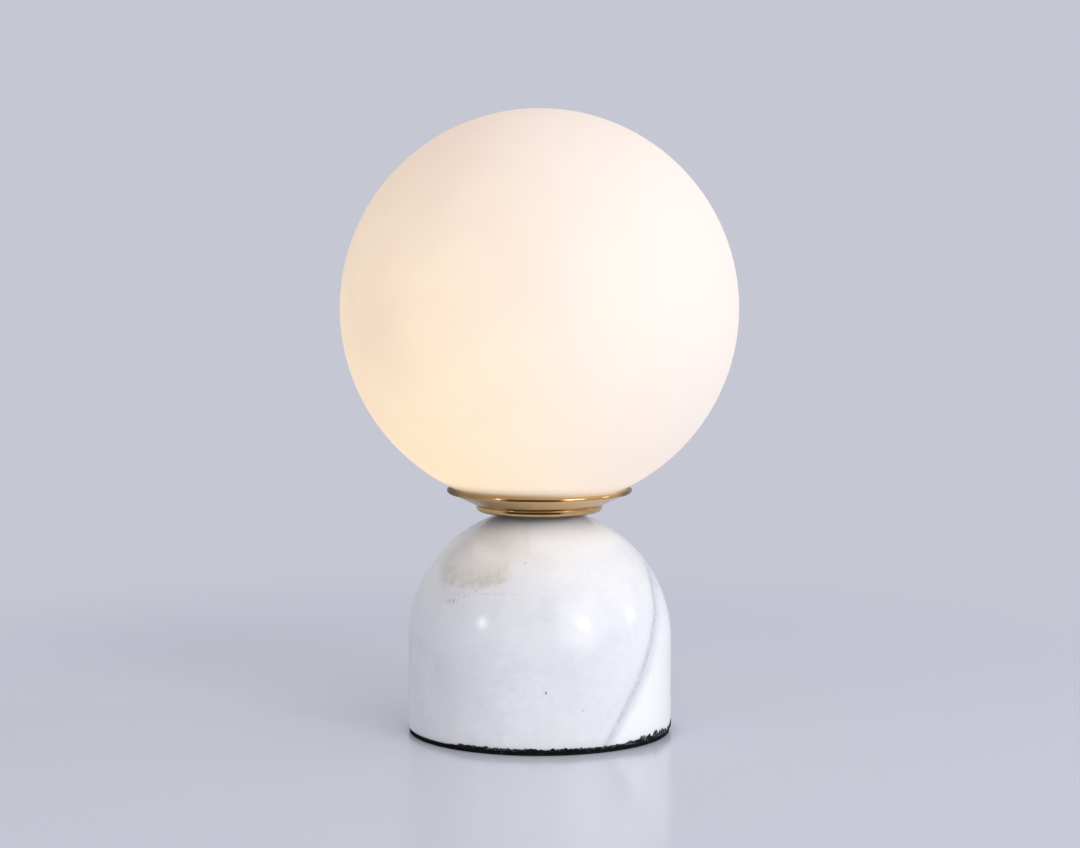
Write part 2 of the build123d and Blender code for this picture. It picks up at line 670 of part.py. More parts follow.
# ---------------------------------------------------------------- terminal block under the stone
def terminal_places():
    """Where the four terminal screws stand: two on each pole."""
    return [
        (pole * pole_offset, block_middle + end * TERMINAL_SCREW_PITCH / 2)
        for pole in (-1, 1)
        for end in (-1, 1)
    ]


def terminal_block():
    """The moulded two-pole block, with a screw tower at each end of each pole."""
    body = block(BLOCK_WIDTH, BLOCK_LENGTH, BLOCK_HEIGHT, 0, block_middle, block_bottom)
    body = fillet(body.faces().sort_by(Axis.Z)[-1].edges().filter_by(Axis.Y), BLOCK_ROUND)
    for x, y in terminal_places():
        body += upright(TOWER_DIAMETER, x, y, block_bottom, TOWER_HEIGHT)
    body -= block(BLOCK_WINDOW, BLOCK_WINDOW_LENGTH, BLOCK_HEIGHT, 0, block_middle, block_bottom)
    for pole in (-1, 1):
        bore = SLEEVE_DIAMETER + 2 * SLEEVE_CLEARANCE
        body -= lengthways(bore, pole * pole_offset, BLOCK_START, sleeve_height, BLOCK_LENGTH)
    for x, y in terminal_places():
        head_hole = TERMINAL_HEAD + 2 * TERMINAL_HEAD_CLEARANCE
        body -= upright(head_hole, x, y, sleeve_height, block_bottom + TOWER_HEIGHT - sleeve_height)
    return body


def terminal_sleeves():
    """The two brass sleeves that join the leads to the cord's cores."""
    length = BLOCK_LENGTH - 2 * SLEEVE_INSET
    sleeves = []
    for pole in (-1, 1):
        x = pole * pole_offset
        sleeve = lengthways(SLEEVE_DIAMETER, x, BLOCK_START + SLEEVE_INSET, sleeve_height, length)
        sleeve -= lengthways(SLEEVE_BORE, x, BLOCK_START + SLEEVE_INSET, sleeve_height, length)
        for screw_x, y in terminal_places():
            tapped = TERMINAL_SCREW + 2 * THREAD_CLEARANCE
            sleeve -= upright(tapped, screw_x, y, sleeve_height, SLEEVE_DIAMETER)
        sleeves.append(sleeve)
    return Compound(children=sleeves)


def terminal_screws():
    """The four slotted clamping screws, down on the leads or ready for the cord's cores."""
    tip = sleeve_height + LEAD_DIAMETER / 2 + THREAD_CLEARANCE
    screw = upright(TERMINAL_SCREW, 0, 0, tip, terminal_seat - tip)
    screw += upright(TERMINAL_HEAD, 0, 0, terminal_seat, TERMINAL_HEAD_HEIGHT)
    slot_bottom = terminal_seat + TERMINAL_HEAD_HEIGHT / 2
    screw -= block(TERMINAL_HEAD, SCREW_SLOT, TERMINAL_HEAD_HEIGHT, 0, 0, slot_bottom)
    return Compound(children=[Pos(x, y, 0) * screw for x, y in terminal_places()])


# ---------------------------------------------------------------- the lamp
PIECES = {
    "base_pad": base_pad(),
    "stone_base": stone_base(),
    "inlet_bush": inlet_bush(),
    "seat_disc": seat_disc(),
    "globe_dish": globe_dish(),
    "globe_gasket": globe_gasket(),
    "glass_globe": glass_globe(),
    "globe_spring": globe_spring(),
    "threaded_rod": threaded_rod(),
    "top_nut": nut(top_nut_bottom),
    "tooth_washer": tooth_washer(),
    "fibre_washer": fibre_washer(),
    "steel_washer": steel_washer(),
    "split_washer": split_washer(),
    "base_nut": nut(base_nut_bottom),
    "holder_bracket": holder_bracket(),
    "lampholder": lampholder(),
    "holder_screws": holder_screws(),
    "contact_left": contact(-1),
    "contact_right": contact(1),
    "lead_left": lead(-1),
    "lead_right": lead(1),
    "bulb_base": bulb_base(),
    "bulb_pins": bulb_pins(),
    "bulb_cover": bulb_cover(),
    "led_board": led_board(),
    "led_chips": led_chips(),
    "terminal_block": terminal_block(),
    "terminal_sleeves": terminal_sleeves(),
    "terminal_screws": terminal_screws(),
}

os.makedirs("parts", exist_ok=True)
for name, piece in PIECES.items():
    export_step(piece, f"parts/{name}.step")
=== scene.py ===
import math
import random

import bmesh
import bpy
from bpy.props import FloatProperty, FloatVectorProperty, IntProperty, PointerProperty
from bpy.types import Operator, Panel, PropertyGroup
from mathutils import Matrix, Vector, noise


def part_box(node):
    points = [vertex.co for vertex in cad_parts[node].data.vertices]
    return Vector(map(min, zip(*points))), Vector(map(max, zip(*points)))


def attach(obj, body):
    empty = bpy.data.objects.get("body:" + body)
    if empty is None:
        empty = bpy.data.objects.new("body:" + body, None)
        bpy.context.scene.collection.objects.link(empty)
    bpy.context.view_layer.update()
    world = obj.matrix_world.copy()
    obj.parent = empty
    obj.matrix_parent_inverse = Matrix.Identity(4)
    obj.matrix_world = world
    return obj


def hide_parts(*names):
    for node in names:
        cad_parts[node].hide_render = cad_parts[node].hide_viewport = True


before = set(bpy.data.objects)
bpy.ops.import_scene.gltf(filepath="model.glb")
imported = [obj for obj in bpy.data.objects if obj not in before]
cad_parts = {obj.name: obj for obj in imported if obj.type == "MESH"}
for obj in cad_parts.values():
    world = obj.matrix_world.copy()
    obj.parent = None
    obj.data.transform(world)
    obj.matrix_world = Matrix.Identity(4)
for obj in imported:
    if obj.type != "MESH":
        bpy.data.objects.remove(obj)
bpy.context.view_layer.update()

bl_info = {
    "name": "Glass Globe Table Lamp",
    "version": (1, 0, 0),
    "blender": (4, 5, 0),
    "location": "3D View > Sidebar > Lamp",
    "description": "Finishes a glass globe table lamp on a stone dome and sets up a plain studio round it",
    "category": "Object",
}

# Lengths are in metres, as in the frame. MM turns a size written in millimetres into metres.
MM = 0.001
UP = Vector((0, 0, 1))
SHARP_EDGE = math.radians(35)

# These repeat sizes of part.py, so a change there needs the same change here.
STONE_ARRIS = 1.2 * MM
FOAM_EDGE = 0.3 * MM
GASKET_BORE_RADIUS = 17.8 * MM
GASKET_SHELF = 1.25 * MM
ROD_BORE_RADIUS = 3.5 * MM
LEAD_RADIUS = 0.9 * MM
PIN_ASIDE = 4.5 * MM

# The soft lamps aim at the stone. Azimuth and elevation are in degrees, and size is in metres.
LAMP_AIM_HEIGHT = 60 * MM
GLEAM_LEAD = 20 * MM
STUDIO_LAMPS = (
    # name, azimuth, elevation, size, power setting, gleam as a share of the power, colour
    ("key_lamp", 40, 18, 0.12, "key_power", 0.48, (1.0, 0.985, 0.985)),
    ("side_lamp", 91, 14, 0.25, "rim_power", 0.3, (0.97, 0.98, 1.0)),
    ("fill_lamp", -53, 17, 0.16, "fill_power", 1.8, (1.0, 0.98, 0.96)),
    ("wash_lamp", 38, 18, 1.1, "wash_power", 1.0, (0.97, 0.985, 1.0)),
)

# Places on the stone's front, in millimetres from the middle of the foot's underside.
HAZE_AT = (-20.0, -26.0, 70.0)
DASH_AT = (-32.5, -33.0, 54.5)
LONE_SPECK_AT = (2.4, -50.0, 23.4)
STAIN_X, STAIN_BOTTOM = -26.0, 58.8

# Heights on the brass and the glass, in millimetres above the foot's underside, where painted shade and
# painted dark reflections sit.
SEAT_FOOT, DISH_SEAM, BEAD_FOOT, RIM_CREASE, GLASS_MOUTH = 84.45, 85.8, 90.6, 91.9, 92.0

# Distances on the floor, in millimetres: the clear round under the foot, and the fade into the background.
FLOOR_CLEAR = (47.5, 48.0)
FLOOR_FADE_CENTRE = (0.0, 40.0, 0.0)
FLOOR_FADE = (190.0, 420.0)


def srgb(red, green, blue):
    """A colour picked on screen, from 0 to 255, as the linear colour that shaders take."""
    linear = []
    for channel in (red, green, blue):
        share = channel / 255
        linear.append(share / 12.92 if share <= 0.04045 else ((share + 0.055) / 1.055) ** 2.4)
    return tuple(linear)


def setting_maker(kind, **limits):
    """A function that makes settings of one kind, each from its name, description and default."""

    def make(name, description, default):
        return kind(name=name, description=description, default=default, **limits)

    return make


colour_setting = setting_maker(FloatVectorProperty, subtype="COLOR", size=3, min=0, max=1)
length_setting = setting_maker(FloatProperty, unit="LENGTH", min=0, precision=5)
share_setting = setting_maker(FloatProperty, subtype="FACTOR", min=0, max=1)
power_setting = setting_maker(FloatProperty, unit="POWER", min=0)


# ---------- settings
class StageSettings(PropertyGroup):
    """The studio: floor, background, lamps and camera."""

    background: colour_setting("Background", "Colour behind the lamp and far away", srgb(197, 199, 211))
    floor: colour_setting("Floor", "Colour of the floor near the lamp", srgb(206, 208, 217))
    floor_gloss: share_setting("Floor Roughness", "How blurred the floor's reflections are", 0.15)
    ambient: colour_setting("Ambient", "Light that comes evenly from all round", (0.68, 0.69, 0.74))
    floor_radius: length_setting("Floor Radius", "How far the floor reaches", 3.0)
    key_power: power_setting("Key Lamp", "Power of the lamp at the right front", 2.4)
    rim_power: power_setting("Side Lamp", "Power of the lamp at the far right", 2.9)
    fill_power: power_setting("Fill Lamp", "Power of the lamp at the left", 0.7)
    wash_power: power_setting("Wash Lamp", "Power of the broad low lamp at the right front", 7.2)
    top_power: power_setting("Top Lamp", "Power of the broad high lamp", 2.6)
    lamp_distance: length_setting("Lamp Distance", "From the object to each studio lamp", 1.6)
    camera_distance: length_setting("Camera Distance", "Level distance from the axis to the camera", 1.0889)
    camera_height: length_setting("Camera Height", "Height of the camera above the floor", 0.2232)
    camera_aside: FloatProperty(
        name="Camera Aside",
        description="Sideways place of the camera",
        default=0.0002,
        unit="LENGTH",
        precision=5,
    )
    camera_pitch: FloatProperty(
        name="Camera Pitch", description="How far the camera looks down", default=0.0973, unit="ROTATION"
    )
    camera_lens: FloatProperty(
        name="Camera Lens", description="Focal length of the camera", default=96.52, unit="CAMERA", min=1
    )


class StoneSettings(PropertyGroup):
    """The marble dome."""

    light: colour_setting("Light Stone", "The body of the marble", (0.87, 0.87, 0.89))
    white: colour_setting("White Stone", "The whitest stone, right of the long vein", (0.96, 0.962, 0.97))
    cream: colour_setting("Cream Stone", "The warmer stone near the top", (0.885, 0.872, 0.85))
    grey: colour_setting("Grey Stone", "The clouded, greyer parts of the marble", (0.68, 0.69, 0.735))
    vein: colour_setting("Vein", "The grey-blue veins", (0.36, 0.44, 0.5))
    stain: colour_setting("Stain", "The faint greenish patch near the top", (0.6, 0.585, 0.49))
    warm: colour_setting("Warm Streak", "Faint warm streaks that run down the stone", (0.76, 0.69, 0.63))
    speck: colour_setting("Specks", "Small dark grains", (0.2, 0.19, 0.19))
    vein_width: length_setting("Vein Width", "Half the width of the thin vein", 1.0 * MM)
    polish: share_setting("Roughness", "How satin the polish is", 0.19)


class FootSettings(PropertyGroup):
    """The foam foot and the black film that creeps up the stone's chipped edge."""

    foam: colour_setting("Foam", "Colour of the foam", (0.004, 0.004, 0.005))
    worn: colour_setting("Worn Foam", "Colour of the foam's underside", (0.045, 0.045, 0.048))
    crumb: colour_setting("Crumbs", "Pale grains of stone caught in the film", (0.3, 0.3, 0.32))
    film_height: length_setting("Film Height", "How far the film reaches up the stone at most", 2.2 * MM)
    film_thickness: length_setting("Film Thickness", "How far the film stands off the stone", 0.12 * MM)


class BrassSettings(PropertyGroup):
    """The seat disc and the dish."""

    metal: colour_setting("Brass", "Colour of the polished brass", (0.735, 0.485, 0.215))
    # Tarnish also paints shade on the brass's left side.
    tarnish_and_shade: colour_setting("Tarnish", "Colour of the slightly aged spots", (0.42, 0.28, 0.12))
    # This colour paints shade and dark reflections in the brass's seam, crease, foot and rim ends.
    painted_shade: colour_setting("Dirt", "Colour of the dirt in the seams", (0.05, 0.03, 0.012))
    roughness: share_setting("Roughness", "How satin the brass is", 0.11)
    ring_spacing: length_setting("Ring Spacing", "Distance between the lathe's fine rings", 0.12 * MM)


class GlobeSettings(PropertyGroup):
    """The opal glass globe."""

    glass: colour_setting("Glass", "Colour of the opal glass by daylight", (0.445, 0.41, 0.395))
    # The glows are painted light, emission on the glass; no lamp stands in the bulb.
    near_glow: colour_setting("Near Glow", "Light through the glass close to the bulb", (0.8, 0.61, 0.36))
    far_glow: colour_setting("Far Glow", "Light through the glass far from the bulb", (0.45, 0.33, 0.235))
    side_glow: colour_setting("Side Glow", "Light through the glass on its bright side", (0.53, 0.475, 0.44))
    roughness: share_setting("Roughness", "How satin the glass is", 0.62)


class InnerSettings(PropertyGroup):
    """The pieces inside the lamp."""

    steel: colour_setting("Plated Steel", "Colour of nuts, washers, screws and bracket", (0.62, 0.63, 0.65))
    spring: colour_setting("Spring Steel", "Colour of the sprung arms", (0.47, 0.46, 0.45))
    ceramic: colour_setting("Ceramic", "Colour of the lampholder and bulb base", (0.8, 0.78, 0.73))
    silicone: colour_setting("Silicone", "Colour of the soft ring under the glass", (0.74, 0.75, 0.75))
    nylon: colour_setting("Nylon", "Colour of the terminal block", (0.76, 0.73, 0.62))
    plastic: colour_setting("Black Plastic", "Colour of the inlet bush", (0.018, 0.018, 0.019))
    brown: colour_setting("Brown Lead", "Colour of the first lead", (0.12, 0.05, 0.022))
    blue: colour_setting("Blue Lead", "Colour of the second lead", (0.02, 0.09, 0.27))
    chip: colour_setting("Chips", "Colour of the lit chips", (1.0, 0.78, 0.42))
    thread_pitch: length_setting("Thread Pitch", "Rise of the rod's thread in one turn", 1.0 * MM)
    thread_depth: length_setting("Thread Depth", "Depth of the rod's thread", 0.35 * MM)
    lead_points: IntProperty(
        name="Lead Detail", description="Steps along each stretch of a lead", default=12, min=2
    )


SETTINGS = {
    "lamp_stage": StageSettings,
    "lamp_stone": StoneSettings,
    "lamp_foot": FootSettings,
    "lamp_brass": BrassSettings,
    "lamp_globe": GlobeSettings,
    "lamp_inner": InnerSettings,
}


# ---------- shader maths
def operator(operation, swapped=False):
    """A method that adds a Math node. It is swapped where the Value stands second, as in 1 - mask."""

    def method(self, other):
        terms = (other, self) if swapped else (self, other)
        return self.paint.math(operation, *terms)

    return method


class Value:
    """A socket in a node tree. Arithmetic on it adds Math nodes to the tree."""

    def __init__(self, paint, socket):
        self.paint = paint
        self.socket = socket

    __add__, __radd__ = operator("ADD"), operator("ADD", True)
    __sub__, __rsub__ = operator("SUBTRACT"), operator("SUBTRACT", True)
    __mul__, __rmul__ = operator("MULTIPLY"), operator("MULTIPLY", True)
    __truediv__, __rtruediv__ = operator("DIVIDE"), operator("DIVIDE", True)
    __pow__ = operator("POWER")

    def __abs__(self):
        return self.paint.math("ABSOLUTE", self)

    def slope(self, start, end, low=0, high=1):
        """Goes smoothly from low, where this value is start, to high, where it is end."""
        inputs = {"Value": self, "From Min": start, "From Max": end, "To Min": low, "To Max": high}
        return self.paint.add("ShaderNodeMapRange", {"interpolation_type": "SMOOTHSTEP"}, inputs)

    def fade(self, start, end, high=1):
        """Goes smoothly from high, where this value is start, to 0, where it is end."""
        return self.slope(start, end, high, 0)


class Paint:
    """The nodes of a material or world, added one at a time."""

    def __init__(self, tree):
        self.tree = tree

    def add(self, kind, settings=None, inputs=None, output=0):
        """Adds a node, sets it up, feeds its inputs, and gives back the output that is asked for."""
        made = self.tree.nodes.new(kind)
        for name, value in (settings or {}).items():
            setattr(made, name, value)
        for name, value in (inputs or {}).items():
            self.feed(self.find(made.inputs, name), value)
        return Value(self, self.find(made.outputs, output))

    def find(self, sockets, name):
        """A socket by its number, its identifier or its name."""
        if isinstance(name, int):
            return sockets[name]
        for socket in sockets:
            if socket.identifier == name:
                return socket
        return sockets[name]

    def feed(self, socket, value):
        """Links a Value to a socket, or writes a plain value on it."""
        if isinstance(value, Value):
            self.tree.links.new(value.socket, socket)
        elif socket.type == "RGBA":
            socket.default_value = (*value, 1)
        else:
            socket.default_value = value

    def math(self, operation, *terms):
        """A Math node on numbers."""
        return self.add("ShaderNodeMath", {"operation": operation}, dict(enumerate(terms)))

    def vector(self, operation, *terms, output=0):
        """A Vector Math node."""
        return self.add("ShaderNodeVectorMath", {"operation": operation}, dict(enumerate(terms)), output)

    def mix(self, share, first, second):
        """A colour between two colours."""
        inputs = {"Factor_Float": share, "A_Color": first, "B_Color": second}
        return self.add("ShaderNodeMix", {"data_type": "RGBA"}, inputs, "Result_Color")

    def place(self):
        """The point on the surface, in the object's own space, in millimetres."""
        point = self.add("ShaderNodeTexCoord", output="Object")
        return self.vector("MULTIPLY", point, (1000, 1000, 1000))

    def parts(self, point):
        """The three coordinates of a point."""
        split = self.add("ShaderNodeSeparateXYZ", inputs={0: point}).socket.node
        return tuple(Value(self, socket) for socket in split.outputs)

    def point(self, x, y, z):
        """A point from three coordinates."""
        return self.add("ShaderNodeCombineXYZ", inputs={0: x, 1: y, 2: z})

    def cloud(self, point, size, detail=3, roughness=0.5, distortion=0):
        """Soft noise from 0 to 1 whose blotches are about size across."""
        inputs = {"Vector": point, "Scale": 1 / size, "Detail": detail, "Roughness": roughness}
        inputs["Distortion"] = distortion
        return self.add("ShaderNodeTexNoise", {"noise_dimensions": "3D"}, inputs)

    def cells(self, point, size):
        """Distance to the middle of the nearest of many scattered cells, about size apart."""
        return self.add("ShaderNodeTexVoronoi", {"feature": "F1"}, {"Vector": point, "Scale": 1 / size})

    def away(self, point, centre, reach=(1, 1, 1)):
        """Distance from a centre, in units of a reach that may differ along X, Y and Z."""
        offset = self.vector("SUBTRACT", point, centre)
        return self.vector("LENGTH", self.vector("DIVIDE", offset, reach), output="Value")


class Finish(Paint):
    """A material: one Principled shader and what feeds it."""

    def __init__(self, name, constants):
        self.material = bpy.data.materials.new(name)
        self.material.use_nodes = True
        super().__init__(self.material.node_tree)
        self.shader = self.tree.nodes["Principled BSDF"]
        self.colour = None
        for socket, value in constants.items():
            self.feed(self.shader.inputs[socket], value)

    def set(self, socket, value):
        """Feeds one of the shader's sockets with what varies over the surface."""
        self.feed(self.shader.inputs[socket], value)

    def lay(self, share, colour):
        """Covers a share of the colour that is built up so far with another colour."""
        self.colour = self.mix(share, self.colour, colour)

    def finished(self, colour, roughness, height, relief, strength):
        """The material, with a normal bent by a height from 0 to 1 that stands for a relief in mm."""
        self.set("Base Color", colour)
        self.set("Roughness", roughness)
        inputs = {"Height": height, "Distance": relief * MM, "Strength": strength}
        self.set("Normal", self.add("ShaderNodeBump", inputs=inputs))
        return self.material


# ---------- finishes
def marble_finish(settings):
    """Satin-polished white marble: clouds, one long vein at the front right, a stain, streaks and specks,
    with painted shade on the shoulder and the left front, and painted light under the disc.
    """
    glow_reach = {"Subsurface Weight": 0.5, "Subsurface Radius": (1, 0.9, 0.85), "Subsurface Scale": 6 * MM}
    paint = Finish("white_marble", {"IOR": 1.5, **glow_reach})
    point = paint.place()
    x, y, z = paint.parts(point)
    wander = paint.cloud(point, 9, 4) - 0.5
    clouds = paint.cloud(point, 34, 4, 0.55)
    wisps = paint.cloud(paint.vector("MULTIPLY", point, (1, 1, 0.45)), 7, 5, 0.6, 0.8)
    front = y.slope(2, -8)

    mottle = paint.cloud(point, 2.6, 6, 0.75).slope(0.38, 0.66)
    blotches = paint.cloud(point, 13, 3, 0.6)
    grey_share = (clouds + wisps * 0.25).slope(0.5, 0.75, 0, 0.75) * (1 - front * 0.65)
    paint.colour = settings.light
    paint.lay(grey_share, settings.grey)
    paint.lay(z.slope(38, 70, 0, 0.6), settings.cream)
    paint.lay(mottle * 0.22, settings.grey)
    paint.lay(blotches.slope(0.5, 0.68, 0, 0.3), settings.cream)
    paint.lay(blotches.slope(0.48, 0.34, 0, 0.2), settings.grey)
    # painted shade: the dome's shoulder is greyed between heights 30 and 80 mm
    painted_shoulder_shade = z.slope(30, 50) * z.slope(80, 72)
    paint.lay(painted_shoulder_shade * 0.22, settings.grey)
    # painted shade: the front's left side is greyer, more so higher up
    paint.lay(x.slope(0, -36) * z.slope(25, 55, 0.05, 0.28) * front, settings.grey)

    # leaning fine veins, warped by a soft noise, few at the front and more at the back
    leaning = {0: point, "Rotation": (0.35, 0.75, 0.3)}
    turned = paint.add("ShaderNodeVectorRotate", {"rotation_type": "EULER_XYZ"}, leaning)
    sideways, _, _ = paint.parts(turned)
    bent = (paint.cloud(paint.vector("ADD", point, (40, 15, 5)), 42, 4, 0.5, 0.3) - 0.5) * 2.2
    folded = paint.math("PINGPONG", sideways / 33 + bent, 0.5)
    thread = folded.fade(0, 0.02)
    shown = paint.cloud(point, 24).slope(0.4, 0.56)
    paint.lay(thread * shown * (0.75 - front * 0.71), settings.vein)
    blur = folded.fade(0, 0.13, 0.4)
    paint.lay(blur * shown * (1 - front * 0.9), settings.grey)

    # the long vein bends from high on the right side down to the lower front
    route = 22.2 + z * (0.64 + z * (-0.00124 - z * 0.000068))
    across = x - route + wander * 2.6
    whiter = across.slope(1, 6) * front
    paint.lay(whiter * 0.85, settings.white)
    width = settings.vein_width / MM
    core = abs(across).fade(width * 0.2, width)
    halo = abs(across - 0.6).fade(0, 3.2)
    second = abs(across - 5.5 - wander * 4).fade(0, 2.2) * z.slope(42, 54)
    breaks = paint.cloud(point, 1.4, 5, 0.75).slope(0.38, 0.6, 0.2, 1)
    paint.lay(halo * front * 0.24, settings.vein)
    paint.lay(core * front * breaks * 0.55, settings.vein)
    paint.lay(second * front * breaks * 0.16, settings.vein)

    # painted light: the stone under the right half of the disc is painted whiter, where light reaches under
    # the disc; warm streaks run down from its left half
    top = z.slope(69, 77) * x.slope(-16, 0) * front
    paint.lay(top * 0.9, settings.white)
    streak = abs(x + 4.5 + wander * 9).fade(0, 3.2) * z.slope(56, 74)
    haze = paint.away(point, HAZE_AT, (18, 22, 14)).fade(0.5, 1.25)
    paint.lay(haze * wisps * front * 0.7, settings.warm)
    paint.lay(streak * front * 0.2, settings.warm)

    # a greenish patch with a darker broken line along its lower edge
    # it is sharp below, where it follows a shallow bowl, and fades out upwards
    aside = x - STAIN_X
    bowl = z - STAIN_BOTTOM - aside * aside * 0.016 - aside * 0.04 + wander * 3
    sides = abs(x + 24 + wander * 6).fade(9, 15)
    patch = bowl.slope(-0.4, 1.2) * bowl.fade(3, 11) * sides
    patch = patch * paint.cloud(point, 3.2, 5, 0.7).slope(0.36, 0.62, 0.25, 1)
    paint.lay(patch * front * 0.75, settings.stain)
    edge = abs(z - 59 - x * 0.06 + wander * 5).fade(0, 0.8) * abs(x + 20).fade(9, 16)
    grains = paint.cloud(point, 1.3, 2).slope(0.4, 0.7)
    paint.lay(edge * grains * front * 0.3, settings.vein)
    paint.lay(patch * (grains * wisps).slope(0.5, 0.75) * front * 0.2, settings.speck)

    # a dash under the patch, one lone speck low on the front, and scattered fine grains
    dash_reach = paint.away(point, DASH_AT, (4.5, 4.5, 1.6)) + wander * 1.6
    dash = dash_reach.fade(0.4, 1.1) * grains
    lone = paint.away(point, LONE_SPECK_AT, (0.55, 2, 0.75)).fade(0.5, 1)
    dust = paint.cells(point, 6.5).fade(0.035, 0.07, 0.5) * clouds.slope(0.45, 0.6)
    paint.lay(dash * 0.4, settings.speck)
    paint.lay(lone * 0.75, settings.speck)
    paint.lay(dust, settings.speck)

    roughness = settings.polish + (wisps - 0.5) * 0.1 + core * front * 0.1
    pits = paint.cloud(point, 0.8, 3, 0.6).slope(0.25, 0.45)
    return paint.finished(paint.colour, roughness, pits + wisps * 0.6, 0.02, 0.35)


def foam_finish(settings):
    """Matt black foam with fine cells."""
    paint = Finish("black_foam", {"IOR": 1.45, "Specular IOR Level": 0.15})
    point = paint.place()
    cells = paint.cells(point, 0.7)
    _, _, z = paint.parts(point)
    dust = paint.cloud(point, 2.5, 5, 0.7).slope(0.55, 0.8)
    worn = z.slope(0.25, 0.05) * paint.cloud(point, 14, 4, 0.6).slope(0.3, 0.7, 0.4, 1)
    foam = paint.mix(worn, settings.foam, settings.worn)
    foam = paint.mix(cells.slope(0.2, 0.5) * 0.6, settings.foam, foam)
    return paint.finished(paint.mix(dust * 0.25, foam, settings.crumb), 0.75 + cells * 0.2, cells, 0.12, 0.8)


def film_finish(settings):
    """Black film with pale grains of stone in it."""
    paint = Finish("black_film", {"IOR": 1.45, "Specular IOR Level": 0.25})
    point = paint.place()
    grain = paint.cloud(point, 0.75, 3, 0.65).slope(0.5, 0.62)
    patchy = paint.cloud(point, 4, 2).slope(0.38, 0.58)
    colour = paint.mix(grain * patchy * 0.9, settings.foam, settings.crumb)
    return paint.finished(colour, 0.5 + grain * 0.3, paint.cloud(point, 0.5, 4, 0.7), 0.2, 0.9)


def brass_finish(settings):
    """Polished brass with the fine rings that a lathe leaves, faint tarnished spots, and painted shade and
    painted dark reflections.
    """
    paint = Finish("polished_brass", {"Metallic": 1, "IOR": 1.45})
    point = paint.place()
    x, y, z = paint.parts(point)
    radius = (x * x + y * y) ** 0.5
    rings = paint.cloud(paint.point(radius, z, 0), settings.ring_spacing / MM, 2)
    smudges = paint.cloud(point, 7, 4, 0.6)
    # painted shade: the left side is darker, and dark lines standing in for dark reflections and shade are
    # painted in the seam under the dish and in the crease under the rolled rim, at the front left
    shaded_left = x.fade(-28, -12, 0.85)
    tarnish_and_shade = paint.math("MAXIMUM", smudges.slope(0.5, 0.78) * 0.45, shaded_left)
    front_left = abs(x + 2).fade(9, 13) * y.slope(-4, -12)
    seam = abs(z - DISH_SEAM).fade(0.25, 0.55)
    crease = abs(z - RIM_CREASE).fade(0.25, 0.65) * 0.9
    # painted shade round the disc's foot, where it sits on the stone
    foot = z.fade(SEAT_FOOT, SEAT_FOOT + 0.5, 0.85)
    # painted dark reflections on the rolled rim's ends at the front
    ends = abs(x).slope(28, 33) * y.slope(2, -2) * z.slope(BEAD_FOOT, BEAD_FOOT + 0.7) * 0.75
    lines = paint.math("MAXIMUM", seam, crease) * front_left
    painted_shade = paint.math("MAXIMUM", lines, paint.math("MAXIMUM", foot, ends))
    clean = paint.mix(tarnish_and_shade, settings.metal, settings.tarnish_and_shade)
    roughness = settings.roughness + rings * 0.04 + tarnish_and_shade * 0.15 + painted_shade * 0.2
    return paint.finished(paint.mix(painted_shade, clean, settings.painted_shade), roughness, rings, 0.004, 0.5)


def opal_finish(settings, bulb_middle):
    """Satin opal glass with a painted glow: emission that is strongest nearest the bulb, as no lamp stands in
    the bulb.
    """
    paint = Finish("opal_glass", {"IOR": 1.5, "Specular IOR Level": 0.3, "Emission Strength": 1})
    point = paint.place()
    x, _, z = paint.parts(point)
    distance = paint.away(point, bulb_middle)
    uneven = paint.cloud(point, 40)
    far = (distance + (uneven - 0.5) * 14).slope(56, 98)
    glow = paint.mix(far, settings.near_glow, settings.far_glow)
    # painted light: the glass glows whiter towards the right, as if the lamps on the right shone through it
    glow = paint.mix(x.slope(-45, 75), glow, settings.side_glow)
    # painted shade: the glow is dimmed round the glass's mouth, where the seat and the sprung arms shade it,
    # less so on the right
    shaded = z.fade(GLASS_MOUTH, GLASS_MOUTH + 5.5, 0.75) * x.slope(-15, 30, 1.05, 0.15)
    glow = paint.mix(shaded, glow, (0.1, 0.06, 0.035))
    paint.set("Emission Color", glow)
    colour = paint.mix(uneven * 0.12, settings.glass, settings.far_glow)
    roughness = settings.roughness + (paint.cloud(point, 1) - 0.5) * 0.1
    return paint.finished(colour, roughness, paint.cloud(point, 0.5, 2), 0.01, 0.3)


def metal_finish(name, colour, roughness, grain):
    """Plated or bare metal with drawn grain along Z and small stains. grain is the grain's width in mm."""
    paint = Finish(name, {"Metallic": 1})
    point = paint.place()
    drawn = paint.cloud(paint.vector("MULTIPLY", point, (1, 1, 0.08)), grain, 3, 0.6)
    stains = paint.cloud(point, 3.5, 4, 0.6).slope(0.5, 0.8)
    darker = tuple(0.72 * channel for channel in colour)
    spotted = paint.mix(stains * 0.5, colour, darker)
    return paint.finished(spotted, roughness + drawn * 0.16 + stains * 0.08, drawn, 0.01, 0.5)


def matt_finish(name, colour, roughness, grain, relief, constants=None, mottling=0.6):
    """Ceramic, rubber or plastic: slight mottling, and a fine skin whose relief is in mm."""
    paint = Finish(name, constants or {"IOR": 1.48})
    point = paint.place()
    mottle = paint.cloud(point, 4, 4, 0.6)
    skin = paint.cloud(point, grain, 3, 0.6)
    darker = tuple(0.8 * channel for channel in colour)
    mottled = paint.mix(mottle.slope(0.35, 0.75, 0, mottling), colour, darker)
    return paint.finished(mottled, roughness + (skin - 0.5) * 0.14, skin, relief, 0.6)


def cover_finish():
    """The bulb's clear cover, with the faintest smears."""
    paint = Finish("clear_cover", {"IOR": 1.49, "Transmission Weight": 1, "Base Color": (0.97, 0.98, 0.98)})
    smears = paint.cloud(paint.place(), 5, 4, 0.6)
    paint.set("Roughness", smears.slope(0.4, 0.8, 0.02, 0.1))
    return paint.material


